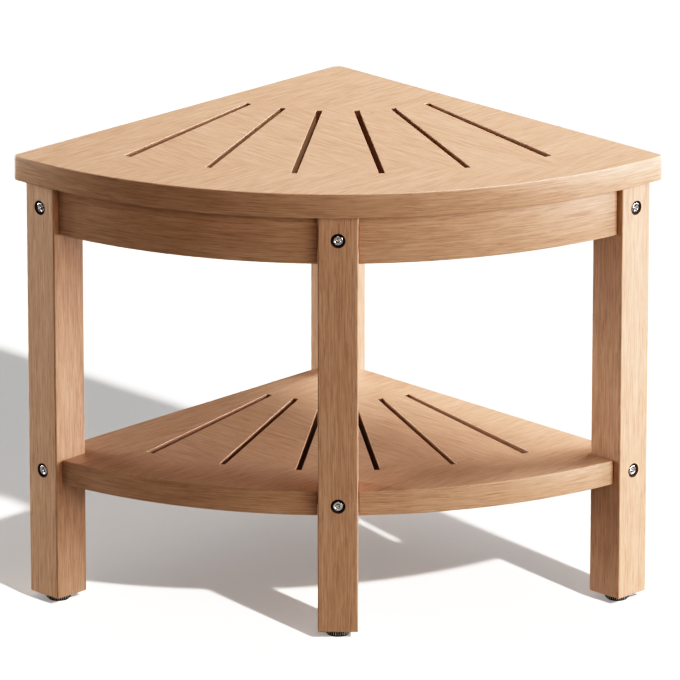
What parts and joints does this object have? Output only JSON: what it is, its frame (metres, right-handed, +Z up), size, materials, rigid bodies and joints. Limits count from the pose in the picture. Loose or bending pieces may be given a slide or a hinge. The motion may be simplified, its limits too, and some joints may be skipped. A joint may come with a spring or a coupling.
{
  "type": "corner shower stool",
  "caption": "Quarter-round wooden corner shower stool with a slotted fan-shaped seat, a slotted storage shelf, square legs and screw-adjustable feet.",
  "frame": {"origin": "on the floor under the middle of the stool's bounding box", "axes": "+X along the long diagonal of the seat between its two outer corners, to the right for someone facing the room corner; +Y into the room corner; +Z up"},
  "size_m": [0.6384, 0.4508, 0.463],
  "materials": {
    "board_wood": "satin oiled teak-look, pale warm brown",
    "frame_wood": "satin oiled teak-look, warm brown, grain along each piece",
    "rail_wood": "sanded, unseen from above",
    "steel": "bright stainless",
    "zinc": "dull zinc plate",
    "foot_plastic": "black moulded plastic with a knurled rim",
    "foot_rubber": "dark matt rubber"
  },
  "bodies": {
    "stool": {"seat_board": "board_wood", "shelf_board": "board_wood", "apron_left": "frame_wood", "apron_right": "frame_wood", "rail_left": "rail_wood", "rail_right": "rail_wood", "rail_centre": "rail_wood", "leg_front": "frame_wood", "bolt_front_upper": "steel", "nut_front_upper": "zinc", "bolt_front_lower": "steel", "nut_front_lower": "zinc", "tenon_front_left": "rail_wood", "tenon_front_right": "rail_wood", "foot_insert_front": "zinc", "leg_left": "frame_wood", "bolt_left_upper": "steel", "nut_left_upper": "zinc", "bolt_left_lower": "steel", "nut_left_lower": "zinc", "tenon_left_apron": "rail_wood", "foot_insert_left": "zinc", "leg_right": "frame_wood", "bolt_right_upper": "steel", "nut_right_upper": "zinc", "bolt_right_lower": "steel", "nut_right_lower": "zinc", "tenon_right_apron": "rail_wood", "foot_insert_right": "zinc", "leg_back": "frame_wood", "bolt_back_upper_left": "steel", "nut_back_upper_left": "zinc", "bolt_back_upper_right": "steel", "nut_back_upper_right": "zinc", "bolt_back_lower": "steel", "nut_back_lower": "zinc", "foot_insert_back": "zinc", "screw_left_back": "zinc", "screw_left_front": "zinc", "screw_right_back": "zinc", "screw_right_front": "zinc", "screw_centre_back": "zinc", "screw_centre_front": "zinc", "screw_apron_left": "zinc", "screw_apron_right": "zinc"},
    "stud_front": {"foot_stud_front": "zinc"},
    "foot_front": {"foot_base_front": "foot_plastic", "foot_pad_front": "foot_rubber"},
    "stud_left": {"foot_stud_left": "zinc"},
    "foot_left": {"foot_base_left": "foot_plastic", "foot_pad_left": "foot_rubber"},
    "stud_right": {"foot_stud_right": "zinc"},
    "foot_right": {"foot_base_right": "foot_plastic", "foot_pad_right": "foot_rubber"},
    "stud_back": {"foot_stud_back": "zinc"},
    "foot_back": {"foot_base_back": "foot_plastic", "foot_pad_back": "foot_rubber"}
  },
  "joints": [
    {"name": "foot_front_travel", "type": "slide", "parent": "stool", "child": "stud_front", "axis": [0, 0, -1], "range_m": [0, 0.0075]},
    {"name": "foot_front_turn", "type": "hinge", "parent": "stud_front", "child": "foot_front", "pos_m": [0, -0.19743, 0], "axis": [0, 0, -1], "range_deg": [0, 2160]},
    {"name": "foot_left_travel", "type": "slide", "parent": "stool", "child": "stud_left", "axis": [0, 0, -1], "range_m": [0, 0.0075]},
    {"name": "foot_left_turn", "type": "hinge", "parent": "stud_left", "child": "foot_left", "pos_m": [-0.28001, -0.09287, 0], "axis": [0, 0, -1], "range_deg": [0, 2160]},
    {"name": "foot_right_travel", "type": "slide", "parent": "stool", "child": "stud_right", "axis": [0, 0, -1], "range_m": [0, 0.0075]},
    {"name": "foot_right_turn", "type": "hinge", "parent": "stud_right", "child": "foot_right", "pos_m": [0.28001, -0.09287, 0], "axis": [0, 0, -1], "range_deg": [0, 2160]},
    {"name": "foot_back_travel", "type": "slide", "parent": "stool", "child": "stud_back", "axis": [0, 0, -1], "range_m": [0, 0.0075]},
    {"name": "foot_back_turn", "type": "hinge", "parent": "stud_back", "child": "foot_back", "pos_m": [0, 0.18715, 0], "axis": [0, 0, -1], "range_deg": [0, 2160]}
  ],
  "couplings": [
    {"joint": "foot_front_travel", "follows": "foot_front_turn", "m_per_rad": 0.00019894},
    {"joint": "foot_left_travel", "follows": "foot_left_turn", "m_per_rad": 0.00019894},
    {"joint": "foot_right_travel", "follows": "foot_right_turn", "m_per_rad": 0.00019894},
    {"joint": "foot_back_travel", "follows": "foot_back_turn", "m_per_rad": 0.00019894}
  ]
}
